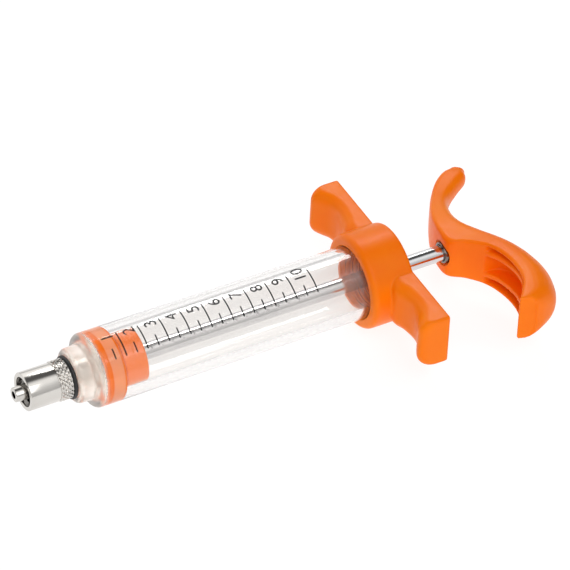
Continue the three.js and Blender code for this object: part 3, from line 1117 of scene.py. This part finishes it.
def handleRings(s):
    stations = s["stations"]
    columns = [[(i, row[c]) for i, row in enumerate(stations)] for c in range(7)]
    rings = []
    for k in range((len(stations) - 1) * s["between"] + 1):
        t = k / s["between"]
        fx, fy, bx, by, height, frontRound, backRound = (smoothBetween(c, t) for c in columns)
        front = Vector((s["hub"] + fx, fy))
        across = Vector((s["hub"] + bx, by)) - front
        width = across.length
        across.normalize()
        half = height / 2
        fr = min(frontRound, width * 0.4, half * 0.9)
        br = min(backRound, width * 0.72, half * 0.94)
        section = roundedSection(0, width, -half, half, (fr, fr, br, br), 7)
        rings.append([place(*(front + across * u), w) for u, w in section])
    horn = roundedEnd(rings[0], rings[1], *s["hornEnd"])
    palm = roundedEnd(rings[-s["palmRing"]], rings[-s["palmRing"] - 1], *s["palmEnd"])
    return horn[::-1] + rings + palm


def pocketCutter(s, level, height, inset, shallower):
    # one slot of the palm's recess, its floor following the back of the palm
    floor = [(x, y + side * inset) for (x, y), side in zip(s["floor"], s["widen"])]
    xs = [(i, x) for i, (x, y) in enumerate(floor)]
    ys = [(i, y) for i, (x, y) in enumerate(floor)]
    outline = []
    for k in range(s["floorSteps"] + 1):
        t = k / s["floorSteps"] * (len(floor) - 1)
        outline.append((smoothBetween(xs, t) - shallower, smoothBetween(ys, t)))
    outline += [(s["open"], s["floor"][-1][1]), (s["open"], s["floor"][0][1])]
    half, soft = height / 2, s["softness"]
    levels = [(half, soft), (half - soft * 0.3, soft * 0.3), (half - soft, 0)]
    levels = [(-z, keep) for z, keep in levels] + levels[::-1]
    rings = []
    for z, keep in levels:
        ring = [(x - keep if x > s["open"] else x, y) for x, y in outline]
        rings.append([place(s["hub"] + x, y, level + z) for x, y in ring])
    return loftPiece("pocket", rings)


def makeHandle():
    s = handleSettings
    handle = loftPiece("pushHandle", handleRings(s))
    cutAway(handle, pocketCutter(s, 0, s["recess"], 0, s["ribDepth"]))
    inner, outer = s["ribs"] - s["rib"] / 2, s["ribs"] + s["rib"] / 2
    for low, high in ((-s["recess"] / 2, -outer), (-inner, inner), (outer, s["recess"] / 2)):
        cutAway(handle, pocketCutter(s, (low + high) / 2, high - low, s["slotInset"], 0))
    mouldSmooth(handle, s)
    hole = turnPiece("hole", [
        (s["hub"] - 2, 0),
        (s["hub"] - 2, s["insertMouth"]),
        (s["hub"] + 0.15, s["insertMouth"]),
        (s["hub"] + 0.7, s["insertHole"]),
        (s["insertEnd"], s["insertHole"]),
        (s["insertEnd"], 0),
    ], sides=96)
    cutAway(handle, hole)
    finishPiece(handle, "plunger", "orange_plastic", ["handle"], angle=40)


insertSettings = {"proud": 0.4, "bore": 2.35, "radius": 2.9, "endGap": 0.1}


def makeHandleInsert():
    s = insertSettings
    front = handleSettings["hub"] - s["proud"]
    end = handleSettings["insertEnd"] - s["endGap"]
    insert = turnPiece("handleInsert", [
        (front, s["bore"], 0.15),
        (front, s["radius"], 0.25),
        (end, s["radius"]),
        (end, s["bore"]),
    ], sides=72)
    finishPiece(insert, "plunger", "nickel_plate", ["handle_insert"])


makeBarrel()
makeScale()
makeNozzle()
makeLuerTip()
makeNozzleWasher()
makePistonSeal()
makePistonCore()
makePistonGuide()
makeThrustWasher()
makeRetainingClip()
makePlungerRod()
makeRodGuideBush()
makeCapGasket()
makeCap()
makeHandle()
makeHandleInsert()
print("pieces made")


floorSettings = {
    "size": 6,
    "level": -0.0004,
    "shader": {
        "Base Color": (0.22, 0.22, 0.22, 1),
        "Roughness": 0.9,
        "Specular IOR Level": 0.0,
        "Emission Color": (1, 1, 1, 1),
        "Emission Strength": 0.86,
    },
}


def makeFloor():
    s = floorSettings
    bpy.ops.mesh.primitive_plane_add(size=s["size"], location=(0, 0, s["level"]))
    floor = bpy.context.object
    floor.name = "studioFloor"
    floor.data.materials.append(newMaterial("paleFloor", s["shader"])[0])


skySettings = {
    # brightness by the share of half a turn round the barrel's axis: 0 in front, 0.5 overhead, 1 behind
    "stops": [
        (0.0, 0.55), (0.18, 0.8), (0.3, 1.15), (0.4, 1.2), (0.45, 0.8), (0.5, 0.12),
        (0.66, 0.07), (0.7, 0.35), (0.74, 1.4), (0.9, 1.2), (0.95, 0.7), (1.0, 0.5),
    ],
    # brightness from and to, between two places along X: past the nozzle and past the handle
    "nozzleEnd": (0.3, 1.0, -0.92, -0.72),
    "handleEnd": (1.0, 0.1, 0.5, 0.75),
}


def fillRamp(ramp, stops):
    elements = ramp.color_ramp.elements
    for element, (position, value) in zip(elements, (stops[0], stops[-1])):
        element.position = position
        element.color = (value, value, value, 1)
    for position, value in stops[1:-1]:
        elements.new(position).color = (value, value, value, 1)


def makeSky():
    s = skySettings
    world = bpy.data.worlds.new("studio")
    bpy.context.scene.world = world
    world.use_nodes = True
    tree = world.node_tree
    background = tree.nodes["Background"]
    axes = axesOf(tree, "Generated")
    turn = mathOf(tree, "ARCTAN2", axes["Z"], mathOf(tree, "MULTIPLY", axes["Y"], -1.0))
    ramp = addNode(tree, "ShaderNodeValToRGB")
    tree.links.new(mathOf(tree, "DIVIDE", turn, math.pi), ramp.inputs["Fac"])
    fillRamp(ramp, s["stops"])
    # darker past both ends, which draws the knurl, the threads and the hollow of the skirt
    dimmed = addNode(tree, "ShaderNodeMix", data_type="RGBA", blend_type="MULTIPLY")
    dimmed.inputs["Factor"].default_value = 1.0
    ends = [spread(tree, axes["X"], *s[end]) for end in ("nozzleEnd", "handleEnd")]
    tree.links.new(ramp.outputs["Color"], dimmed.inputs["A"])
    tree.links.new(mathOf(tree, "MULTIPLY", *ends), dimmed.inputs["B"])
    path = addNode(tree, "ShaderNodeLightPath")  # the backdrop itself stays plain white
    backdrop = addNode(tree, "ShaderNodeMix", data_type="RGBA")
    backdrop.inputs["B"].default_value = (1, 1, 1, 1)
    tree.links.new(path.outputs["Is Camera Ray"], backdrop.inputs["Factor"])
    tree.links.new(dimmed.outputs["Result"], backdrop.inputs["A"])
    tree.links.new(backdrop.outputs["Result"], background.inputs["Color"])
    background.inputs["Strength"].default_value = 1.0


lampSettings = [  # in metres and watts
    {"spot": (-0.15, -0.75, 0.75), "size": 0.7, "power": 2.5},
    {"spot": (0.45, 0.76, 0.84), "size": 0.3, "power": 3.0},
]
lampTarget = Vector((0, 0, 0.01))


def makeLamps():
    for s in lampSettings:
        bpy.ops.object.light_add(type="AREA", location=s["spot"])
        lamp = bpy.context.object
        lamp.data.size = s["size"]
        lamp.data.energy = s["power"]
        lamp.rotation_euler = (lampTarget - Vector(s["spot"])).to_track_quat("-Z", "Y").to_euler()


cameraSettings = {
    "target": (56.05, 0.532, 6.438),
    "distance": 1633.6,
    "azimuth": -30.58,
    "elevation": 41.456,
    "roll": 3.02,
    "lens": 398.7,
}


def makeCamera():
    s = cameraSettings
    azimuth, elevation, roll = (math.radians(s[angle]) for angle in ("azimuth", "elevation", "roll"))
    level = Vector((math.cos(azimuth), math.sin(azimuth), 0))
    away = Vector((math.sin(azimuth), -math.cos(azimuth), 0))
    back = away * math.cos(elevation) + Vector((0, 0, math.sin(elevation)))
    right = level * math.cos(roll) + back.cross(level) * math.sin(roll)
    bpy.ops.object.camera_add(location=place(*s["target"]) + back * s["distance"] * mm)
    camera = bpy.context.object
    camera.data.lens = s["lens"]
    camera.data.sensor_width = 36
    camera.data.clip_start = 0.05
    camera.data.clip_end = 50
    camera.rotation_euler = Matrix((right, back.cross(right), back)).transposed().to_euler()
    bpy.context.scene.camera = camera


makeFloor()
makeSky()
makeLamps()
makeCamera()
bpy.context.scene.view_settings.view_transform = "Standard"
print("studio and camera set")
